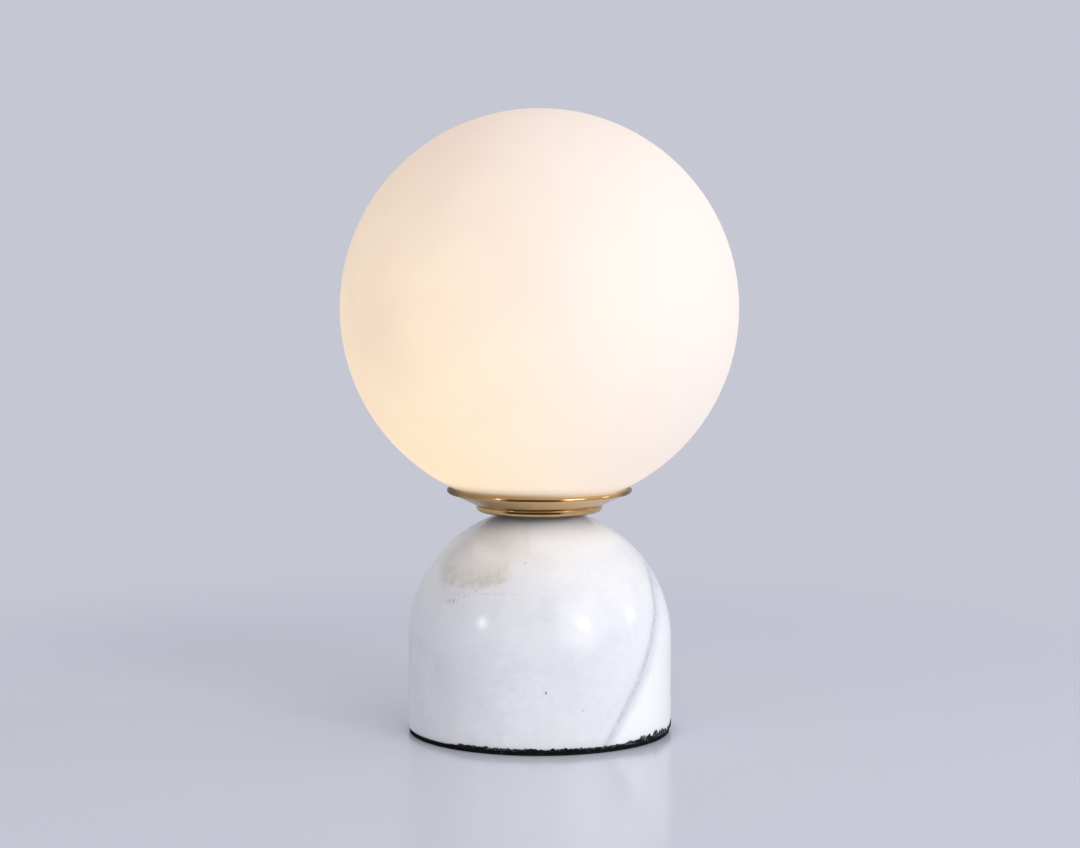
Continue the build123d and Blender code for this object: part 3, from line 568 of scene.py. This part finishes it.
def board_finish():
    """A white circuit board with faint raised tracks."""
    paint = Finish("white_board", {"IOR": 1.5})
    point = paint.place()
    x, _, _ = paint.parts(point)
    tracks = abs(paint.math("PINGPONG", x, 0.75) - 0.4).fade(0.08, 0.14)
    mottle = paint.cloud(point, 2)
    colour = paint.mix(tracks * 0.35 + mottle * 0.1, (0.8, 0.8, 0.77), (0.6, 0.62, 0.58))
    return paint.finished(colour, 0.35 + mottle * 0.15, tracks, 0.03, 0.8)


def chip_finish(colour):
    """A lit chip: its yellow middle glows, its pale rim doesn't."""
    paint = Finish("yellow_chips", {"IOR": 1.5, "Emission Strength": 1, "Roughness": 0.3})
    point = paint.place()
    grain = paint.cloud(point, 0.5)
    paint.set("Base Color", paint.mix(grain, (0.85, 0.6, 0.2), (0.8, 0.66, 0.34)))
    paint.set("Emission Color", paint.mix(grain * 0.3, colour, (1, 0.9, 0.66)))
    return paint.material


# ---------- mesh helpers
def wear(material, *nodes):
    """Gives CAD nodes a material."""
    for node in nodes:
        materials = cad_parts[node].data.materials
        materials.clear()
        materials.append(material)


def place_object(name, data):
    """An object made from a mesh, curve, lamp or camera, put into the scene."""
    made = bpy.data.objects.new(name, data)
    bpy.context.scene.collection.objects.link(made)
    return made


def place_piece(name, data, material, body):
    """A visible piece that rides on a body, with the given material."""
    piece = place_object(name, data)
    data.materials.append(material)
    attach(piece, body)
    return piece


def new_piece(name, verts, faces, material):
    """A smooth-shaded piece on the lamp's own body, made from vertices and faces."""
    mesh = bpy.data.meshes.new(name)
    mesh.from_pydata(verts, [], faces)
    mesh.validate()
    tidy = bmesh.new()
    tidy.from_mesh(mesh)
    bmesh.ops.recalc_face_normals(tidy, faces=tidy.faces)
    tidy.to_mesh(mesh)
    tidy.free()
    mesh.shade_smooth()
    mesh.set_sharp_from_angle(angle=SHARP_EDGE)
    return place_piece(name, mesh, material, "lamp")


def round_point(radius, step, steps, height):
    """One of the evenly spread points of a circle round the Z axis."""
    angle = 2 * math.pi * step / steps
    return radius * math.cos(angle), radius * math.sin(angle), height


def quads(columns, rows, ring=False, loop=False):
    """Faces between columns of vertices. ring joins the last column to the first, loop each column's ends."""
    faces = []
    for column in range(columns if ring else columns - 1):
        here, there = column * rows, (column + 1) % columns * rows
        for i in range(rows if loop else rows - 1):
            j = (i + 1) % rows
            faces.append((here + i, there + i, there + j, here + j))
    return faces


def lathe(profile, steps):
    """Vertices and faces of a closed profile, a list of (radius, height), turned round the Z axis."""
    verts = []
    for step in range(steps):
        verts += [round_point(radius, step, steps, height) for radius, height in profile]
    return verts, quads(steps, len(profile), ring=True, loop=True)


def spread(start, end, steps):
    """Evenly spread angles from start to end, which are in degrees, turned into radians."""
    return [math.radians(start + (end - start) * step / steps) for step in range(steps + 1)]


def arc(centre, radius, start, end, steps):
    """Points on an arc in a profile. Angles are in degrees, from level outwards to upwards."""
    points = []
    for angle in spread(start, end, steps):
        points.append((centre[0] + radius * math.cos(angle), centre[1] + radius * math.sin(angle)))
    return points


# ---------- stage
def world_background(settings):
    """An even background for what the camera, metal and glass see, and an even light on everything else."""
    world = bpy.data.worlds.new("studio")
    bpy.context.scene.world = world
    world.use_nodes = True
    paint = Paint(world.node_tree)
    seen = seen_directly(paint)
    shown = paint.mix(seen, settings.ambient, settings.background)
    paint.feed(world.node_tree.nodes["Background"].inputs["Color"], shown)


def seen_directly(paint):
    """1 for rays from the camera, off metal or through glass, and 0 for the soft light on matt surfaces."""
    path = paint.add("ShaderNodeLightPath").socket.node.outputs
    rays = [Value(paint, path[name]) for name in ("Is Camera Ray", "Is Glossy Ray", "Is Transmission Ray")]
    return paint.math("MINIMUM", rays[0] + rays[1] + rays[2], 1)


def floor_piece(settings):
    """A floor that is a real surface near the lamp and fades into the background further out."""
    mesh = bpy.data.meshes.new("floor")
    outline = bmesh.new()
    bmesh.ops.create_circle(outline, cap_ends=True, radius=settings.floor_radius, segments=96)
    outline.to_mesh(mesh)
    outline.free()
    floor = place_object("floor", mesh)

    paint = Finish("studio_floor", {"IOR": 1.5})
    point = paint.place()
    grain = paint.cloud(point, 90)
    paint.set("Base Color", paint.mix(grain * 0.1, settings.floor, settings.background))
    paint.set("Roughness", settings.floor_gloss + grain * 0.05)
    flat = paint.add("ShaderNodeEmission", inputs={"Color": settings.background})
    clear = paint.add("ShaderNodeBsdfTransparent")
    below = paint.add("ShaderNodeNewGeometry", output="Backfacing")
    far = paint.away(point, FLOOR_FADE_CENTRE).slope(*FLOOR_FADE) * seen_directly(paint)
    near_shader = Value(paint, paint.shader.outputs["BSDF"])
    faded = paint.add("ShaderNodeMixShader", inputs={0: far, 1: near_shader, 2: flat})
    # right under the foot the floor is clear too, so that the foot's underside gets light in views from below
    hidden = paint.away(point, (0, 0, 0)).fade(*FLOOR_CLEAR)
    open_share = paint.math("MAXIMUM", below, hidden)
    one_sided = paint.add("ShaderNodeMixShader", inputs={0: open_share, 1: faded, 2: clear})
    paint.feed(paint.tree.nodes["Material Output"].inputs["Surface"], one_sided)
    mesh.materials.append(paint.material)
    return floor


def soft_lamp(name, azimuth, elevation, distance, size, power, colour):
    """A square soft lamp, aimed at the stone. Azimuth 0 is in front of the object, and 90 to its right."""
    light = bpy.data.lights.new(name, "AREA")
    light.shape = "SQUARE"
    light.size = size
    light.energy = power
    light.color = colour
    lamp = place_object(name, light)
    turn = math.radians(azimuth)
    rise = math.radians(elevation)
    out = Vector((math.sin(turn) * math.cos(rise), -math.cos(turn) * math.cos(rise), math.sin(rise)))
    lamp.location = UP * LAMP_AIM_HEIGHT + out * distance
    lamp.rotation_euler = (-out).to_track_quat("-Z", "Y").to_euler()
    return lamp


def studio_lamp(name, unseen_by, azimuth, elevation, distance, size, power, gleam_share, colour):
    """A soft lamp that lights matt surfaces, and its gleam on polished ones, which unseen_by doesn't show."""
    soft_lamp(name, azimuth, elevation, distance, size, power, colour).visible_glossy = False
    # the gleam stands a little in front, because of two lamps in one place only one shows
    front = distance - GLEAM_LEAD
    gleam = soft_lamp(f"{name}_gleam", azimuth, elevation, front, size, power * gleam_share, colour)
    gleam.visible_diffuse = False
    receivers = bpy.data.collections.new(f"{name}_receivers")
    receivers.objects.link(unseen_by)
    receivers.collection_objects[0].light_linking.link_state = "EXCLUDE"
    gleam.light_linking.receiver_collection = receivers


def dark_screen():
    """A dark curved screen over and behind the camera. Only polished surfaces see it."""
    reach = 2.4
    turns = spread(-150, 32, 36)
    rises = spread(20, 62, 12)
    verts = []
    for turn in turns:
        for rise in rises:
            level = reach * math.cos(rise)
            verts.append((level * math.sin(turn), -level * math.cos(turn), reach * math.sin(rise)))
    mesh = bpy.data.meshes.new("dark_screen")
    mesh.from_pydata(verts, [], quads(len(turns), len(rises)))
    screen = place_object("dark_screen", mesh)
    dull = {"Base Color": (0.012, 0.01, 0.009), "Roughness": 1, "Specular IOR Level": 0}
    mesh.materials.append(Finish("dark_cloth", dull).material)
    screen.visible_camera = False
    screen.visible_diffuse = False
    screen.visible_shadow = False
    screen.visible_transmission = False


def studio_camera(settings):
    """The camera, at the photograph's viewing angle."""
    data = bpy.data.cameras.new("camera")
    data.sensor_width = 36
    data.lens = settings.camera_lens
    camera = place_object("camera", data)
    camera.location = (settings.camera_aside, -settings.camera_distance, settings.camera_height)
    camera.rotation_euler = (math.pi / 2 - settings.camera_pitch, 0, 0)
    bpy.context.scene.camera = camera


class LAMP_OT_stage(Operator):
    """Set up floor, background, studio lamps and camera"""

    bl_idname = "lamp.stage"
    bl_label = "Set Up Studio"

    def execute(self, context):
        settings = context.scene.lamp_stage
        context.scene.view_settings.view_transform = "Standard"
        world_background(settings)
        floor = floor_piece(settings)
        dark_screen()
        distance = settings.lamp_distance
        for name, azimuth, elevation, size, power, gleam_share, colour in STUDIO_LAMPS:
            watts = getattr(settings, power)
            studio_lamp(name, floor, azimuth, elevation, distance, size, watts, gleam_share, colour)
        top = soft_lamp("top_lamp", 28, 33, distance, 0.9, settings.top_power, (1, 0.99, 0.97))
        top.visible_glossy = False
        studio_camera(settings)
        return {"FINISHED"}


# ---------- stone and foot
def film_reach(turn):
    """How far up the stone the black film reaches, as a share from 0 to 1. turn is the angle to the right."""
    degrees = math.degrees(turn)
    broad = smooth_step(degrees, 38, 54) * (1 - smooth_step(degrees, 78, 108))
    trace = smooth_step(degrees, -46, -34) * (1 - smooth_step(degrees, 100, 150))
    rough = noise.fractal(Vector((math.sin(turn) * 9, math.cos(turn) * 9, 0.5)), 0.7, 2.1, 6)
    fine = noise.fractal(Vector((math.sin(turn) * 38, math.cos(turn) * 38, 2.5)), 0.6, 2.1, 4)
    share = 0.05 + trace * (0.27 + 0.16 * fine) + broad * (0.34 + 0.36 * rough + 0.2 * fine)
    return min(max(share, 0.03), 1)


def smooth_step(value, start, end):
    """Goes smoothly from 0, where value is start, to 1, where it is end."""
    share = min(max((value - start) / (end - start), 0), 1)
    return share * share * (3 - 2 * share)


def black_film(settings, material):
    """A thin black film round the stone's lower edge, ragged where the edge is chipped."""
    low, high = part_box("stone_base")
    radius = high.x
    stand_off = settings.film_thickness
    centre = (radius - STONE_ARRIS, low.z + STONE_ARRIS)
    # the film starts on the flat underside, turns the rounded corner and climbs the side
    corner = arc(centre, STONE_ARRIS + stand_off, -78, 0, 14)
    climb = [(radius + stand_off, centre[1] + settings.film_height * step / 8) for step in range(1, 9)]
    route = corner + climb
    lengths = [0]
    for first, second in zip(route, route[1:]):
        lengths.append(lengths[-1] + math.dist(first, second))
    corner_length = lengths[len(corner) - 1]
    steps = 900
    rows = 12
    verts = []
    for step in range(steps):
        angle = 2 * math.pi * step / steps
        turn = math.atan2(math.cos(angle + math.pi / 2), -math.sin(angle + math.pi / 2))
        reach = corner_length * 0.3 + film_reach(turn) * (lengths[-1] - corner_length * 0.3)
        direction = Vector((math.sin(turn), -math.cos(turn), 0))
        for row in range(rows + 1):
            along = reach * row / rows
            r, h = along_route(route, lengths, along)
            thin = stand_off * 0.85 if row == rows else 0
            lump = 0.16 * MM * noise.fractal(direction * r * 1500 + UP * h * 1500, 0.6, 2, 4)
            point = direction * (r - thin + min(max(lump, -stand_off * 0.6), 0.3 * MM))
            verts.append((point.x, point.y, h))
    new_piece("edge_film", verts, quads(steps, rows + 1, ring=True), material)


def along_route(route, lengths, along):
    """The point at a distance along a profile."""
    for i in range(len(route) - 1):
        if along <= lengths[i + 1]:
            share = (along - lengths[i]) / (lengths[i + 1] - lengths[i])
            return tuple(a + (b - a) * share for a, b in zip(route[i], route[i + 1]))
    return route[-1]


class LAMP_OT_stone(Operator):
    """Finish the marble dome"""

    bl_idname = "lamp.stone"
    bl_label = "Finish Stone"

    def execute(self, context):
        wear(marble_finish(context.scene.lamp_stone), "stone_base")
        return {"FINISHED"}


class LAMP_OT_foot(Operator):
    """Make the foam foot and the black film on the stone's edge"""

    bl_idname = "lamp.foot"
    bl_label = "Make Foot"

    def execute(self, context):
        settings = context.scene.lamp_foot
        low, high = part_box("base_pad")
        radius = high.x
        edge = FOAM_EDGE
        profile = [(0.2 * MM, low.z)]
        profile += [(radius * share, low.z) for share in (0.25, 0.5, 0.75, 0.9)]
        profile += arc((radius - edge, low.z + edge), edge, -90, 0, 4)
        profile += [(radius, low.z + (high.z - low.z) * share) for share in (0.35, 0.5, 0.65)]
        profile += arc((radius - edge, high.z - edge), edge, 0, 90, 4)
        profile += [(radius * share, high.z) for share in (0.9, 0.75, 0.5, 0.25)]
        profile += [(0.2 * MM, high.z)]
        verts, faces = lathe(profile, steps=480)
        rough = []
        for x, y, z in verts:
            out = Vector((x, y, 0))
            near_edge = max(0, out.length / radius - 0.97) / 0.03
            push = 0.12 * MM * near_edge * noise.fractal(Vector((x, y, z)) * 1400, 0.7, 2, 3)
            moved = out - out.normalized() * abs(push)
            rough.append((moved.x, moved.y, z))
        foot = new_piece("foam_foot", rough, faces, foam_finish(settings))
        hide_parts("base_pad")
        black_film(settings, film_finish(settings))
        return {"FINISHED"}


# ---------- brass and globe
class LAMP_OT_brass(Operator):
    """Finish the seat disc and the dish"""

    bl_idname = "lamp.brass"
    bl_label = "Finish Brass"

    def execute(self, context):
        wear(brass_finish(context.scene.lamp_brass), "seat_disc", "globe_dish")
        return {"FINISHED"}


class LAMP_OT_globe(Operator):
    """Finish the opal glass globe"""

    bl_idname = "lamp.globe"
    bl_label = "Finish Globe"

    def execute(self, context):
        low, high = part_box("led_board")
        middle = tuple((low + high) / 2 / MM)
        wear(opal_finish(context.scene.lamp_globe, middle), "glass_globe")
        return {"FINISHED"}


class LAMP_OT_seating(Operator):
    """Make the soft ring under the glass and finish the sprung arms"""

    bl_idname = "lamp.seating"
    bl_label = "Make Globe Seat"

    def execute(self, context):
        settings = context.scene.lamp_inner
        low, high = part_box("globe_gasket")
        outer = high.x
        inner = GASKET_BORE_RADIUS
        shelf = low.z + GASKET_SHELF
        lip = 0.25 * MM
        profile = arc((outer - lip, low.z + lip), lip, -90, 0, 4)
        profile += arc((outer - lip, high.z - 2 * lip), lip, 0, 70, 4)
        profile += [(19 * MM, shelf + 0.02 * MM)]
        profile += arc((inner + lip, shelf - lip), lip, 90, 180, 4)
        profile += arc((inner + lip, low.z + lip), lip, 180, 270, 4)
        verts, faces = lathe(profile, steps=160)
        soft = {"IOR": 1.41, "Subsurface Weight": 0.2, "Subsurface Radius": (0.002, 0.002, 0.002)}
        rubber = matt_finish("clear_silicone", settings.silicone, 0.38, 1.5, 0.01, soft)
        ring = new_piece("silicone_ring", verts, faces, rubber)
        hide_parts("globe_gasket")
        wear(metal_finish("spring_steel", settings.spring, 0.22, 0.3), "globe_spring")
        return {"FINISHED"}


# ---------- rod, nuts, bracket and lampholder
def threaded_bar(settings, material):
    """The hollow rod with a real helical thread."""
    low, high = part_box("threaded_rod")
    crest = high.x
    root = crest - settings.thread_depth
    pitch = settings.thread_pitch
    steps = 40
    turns = (high.z - low.z) / pitch
    verts = []
    rows = int(turns * 4)
    for row in range(rows + 1):
        for step in range(steps):
            height = low.z + (high.z - low.z) * row / rows
            phase = (height / pitch - step / steps) % 1
            depth = abs(2 * phase - 1)
            r = root + (crest - root) * min(1, 1.25 * depth)
            verts.append(round_point(r, step, steps, height))
    for height in (high.z, low.z):
        verts += [round_point(ROD_BORE_RADIUS, step, steps, height) for step in range(steps)]
    faces = quads(rows + 3, steps, ring=True, loop=True)
    rod = new_piece("rod_thread", verts, faces, material)
    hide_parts("threaded_rod")


class LAMP_OT_clamping(Operator):
    """Make the threaded rod and finish nuts, washers, bracket and screws"""

    bl_idname = "lamp.clamping"
    bl_label = "Finish Rod and Bracket"

    def execute(self, context):
        settings = context.scene.lamp_inner
        steel = metal_finish("zinc_steel", settings.steel, 0.26, 0.4)
        wear(steel, "top_nut", "tooth_washer", "steel_washer", "split_washer", "base_nut")
        wear(steel, "holder_bracket", "holder_screws", "terminal_screws")
        threaded_bar(settings, steel)
        wear(matt_finish("red_fibre", (0.15, 0.035, 0.02), 0.7, 0.5, 0.03), "fibre_washer")
        return {"FINISHED"}


class LAMP_OT_holder(Operator):
    """Finish the ceramic lampholder and its contacts"""

    bl_idname = "lamp.holder"
    bl_label = "Finish Lampholder"

    def execute(self, context):
        settings = context.scene.lamp_inner
        ceramic = matt_finish("white_ceramic", settings.ceramic, 0.55, 0.45, 0.03, mottling=0.2)
        wear(ceramic, "lampholder", "bulb_base")
        nickel = metal_finish("contact_metal", (0.66, 0.64, 0.6), 0.2, 0.25)
        wear(nickel, "contact_left", "contact_right", "bulb_pins")
        return {"FINISHED"}


# ---------- bulb
def board_parts(material, solder):
    """Small unmarked parts and solder blobs at the foot of the bulb's board."""
    low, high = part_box("led_board")
    chips_low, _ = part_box("led_chips")
    rng = random.Random(7)
    middle = (low.z + chips_low.z) / 2
    for side, name, face in ((-1, "front", low.y), (1, "back", high.y)):
        parts = []
        for column in (-1, 0, 1):
            width = (1 + 0.3 * rng.random()) * MM
            parts.append((column * 2.6 * MM, middle, width, 0.7 * MM, 0.45 * MM))
        make_blocks(f"board_parts_{name}", parts, face, side, material)
    for side, name in ((-1, "left"), (1, "right")):
        bead(f"solder_{name}", Vector((side * PIN_ASIDE * 0.86, 0, low.z + 0.35 * MM)), solder)


def bulb_part(name, shape, material):
    """Turns a finished shape into a smooth-shaded piece on the bulb, and gives back its mesh."""
    mesh = bpy.data.meshes.new(name)
    shape.to_mesh(mesh)
    shape.free()
    mesh.shade_smooth()
    place_piece(name, mesh, material, "bulb")
    return mesh


def make_blocks(name, parts, face, side, material):
    """Small blocks with rounded edges, standing off one face of the board."""
    shape = bmesh.new()
    for x, z, width, height, depth in parts:
        made = bmesh.ops.create_cube(shape, size=1)
        bmesh.ops.scale(shape, vec=(width, depth, height), verts=made["verts"])
        bmesh.ops.translate(shape, vec=(x, face + side * depth / 2, z), verts=made["verts"])
    bmesh.ops.bevel(shape, geom=shape.edges[:], offset=0.08 * MM, segments=2, profile=0.5, affect="EDGES")
    bulb_part(name, shape, material).set_sharp_from_angle(angle=math.radians(40))


def bead(name, centre, material):
    """A small flattened blob of solder."""
    shape = bmesh.new()
    bmesh.ops.create_uvsphere(shape, u_segments=20, v_segments=12, radius=0.55 * MM)
    bmesh.ops.scale(shape, vec=(0.8, 1.6, 0.6), verts=shape.verts)
    bmesh.ops.translate(shape, vec=centre, verts=shape.verts)
    bulb_part(name, shape, material)


class LAMP_OT_bulb(Operator):
    """Finish the bulb's cover, board and chips, and add its small parts"""

    bl_idname = "lamp.bulb"
    bl_label = "Finish Bulb"

    def execute(self, context):
        wear(cover_finish(), "bulb_cover")
        wear(board_finish(), "led_board")
        wear(chip_finish(context.scene.lamp_inner.chip), "led_chips")
        dark = matt_finish("dark_parts", (0.03, 0.03, 0.03), 0.4, 0.3, 0.01)
        solder = metal_finish("solder", (0.7, 0.7, 0.7), 0.3, 0.4)
        board_parts(dark, solder)
        return {"FINISHED"}


# ---------- wiring
def lead_route(side):
    """The control points of one lead, from its crimp through the rod to the terminal block."""
    low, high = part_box("lead_left")
    start = high.z
    floor = low.z + LEAD_RADIUS
    inside = 1.25 * MM
    pole = 4.25 * MM
    rod_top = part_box("threaded_rod")[1].z
    points = [(PIN_ASIDE, 0, start - drop * MM) for drop in (0, 1.5, 4)]
    points += [(inside, 0, rod_top - (2.5 + 12 * step) * MM) for step in range(6)]
    points += [(inside, 0, 20 * MM), (inside, 0, floor), (inside * 1.2, 3 * MM, floor)]
    points += [(pole, y, floor) for y in (8 * MM, 11 * MM, high.y)]
    return [(side * x, y, z) for x, y, z in points]


def lead_wire(name, side, colour):
    """One insulated lead, a round tube along a smooth curve. side is -1 for the left, and 1 for the right."""
    route = lead_route(side)
    curve = bpy.data.curves.new(f"{name}_wire", "CURVE")
    curve.dimensions = "3D"
    curve.bevel_depth = LEAD_RADIUS
    curve.bevel_resolution = 6
    curve.use_fill_caps = True
    spline = curve.splines.new("NURBS")
    spline.points.add(len(route) - 1)
    for control, place in zip(spline.points, route):
        control.co = (*place, 1)
    spline.order_u = 3
    spline.use_endpoint_u = True
    spline.resolution_u = bpy.context.scene.lamp_inner.lead_points
    cover = matt_finish(f"{name}_lead", colour, 0.42, 0.8, 0.01, {"IOR": 1.42})
    return place_piece(f"{name}_wire", curve, cover, "lamp")


class LAMP_OT_wiring(Operator):
    """Make the two leads and finish the terminal block and the inlet"""

    bl_idname = "lamp.wiring"
    bl_label = "Make Wiring"

    def execute(self, context):
        settings = context.scene.lamp_inner
        left = lead_wire("brown", -1, settings.brown)
        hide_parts("lead_left")
        right = lead_wire("blue", 1, settings.blue)
        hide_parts("lead_right")
        wear(matt_finish("pale_nylon", settings.nylon, 0.42, 0.8, 0.015), "terminal_block")
        wear(metal_finish("plain_brass", (0.7, 0.52, 0.24), 0.28, 0.3), "terminal_sleeves")
        wear(matt_finish("black_plastic", settings.plastic, 0.45, 0.35, 0.02), "inlet_bush")
        return {"FINISHED"}


# ---------- panel
STEPS = (
    *(LAMP_OT_stage, LAMP_OT_stone, LAMP_OT_foot, LAMP_OT_brass, LAMP_OT_globe),
    *(LAMP_OT_seating, LAMP_OT_clamping, LAMP_OT_holder, LAMP_OT_bulb, LAMP_OT_wiring),
)


class LAMP_PT_panel(Panel):
    """Lists the settings and the steps that make the lamp"""

    bl_label = "Globe Lamp"
    bl_idname = "LAMP_PT_panel"
    bl_space_type = "VIEW_3D"
    bl_region_type = "UI"
    bl_category = "Lamp"

    def draw(self, context):
        layout = self.layout
        for name, group in SETTINGS.items():
            section = layout.box()
            section.label(text=group.__doc__)
            for setting in group.__annotations__:
                section.prop(getattr(context.scene, name), setting)
        for step in STEPS:
            layout.operator(step.bl_idname)


def register():
    """Registers the settings, the steps and the panel."""
    for group in SETTINGS.values():
        bpy.utils.register_class(group)
    for name, group in SETTINGS.items():
        setattr(bpy.types.Scene, name, PointerProperty(type=group))
    for step in STEPS:
        bpy.utils.register_class(step)
    bpy.utils.register_class(LAMP_PT_panel)


def unregister():
    """Takes them away again."""
    bpy.utils.unregister_class(LAMP_PT_panel)
    for step in reversed(STEPS):
        bpy.utils.unregister_class(step)
    for name in SETTINGS:
        delattr(bpy.types.Scene, name)
    for group in reversed(SETTINGS.values()):
        bpy.utils.unregister_class(group)


def main():
    """Registers everything and runs every step in order."""
    register()
    for step in STEPS:
        family, action = step.bl_idname.split(".")
        getattr(getattr(bpy.ops, family), action)()


if __name__ == "__main__":
    main()
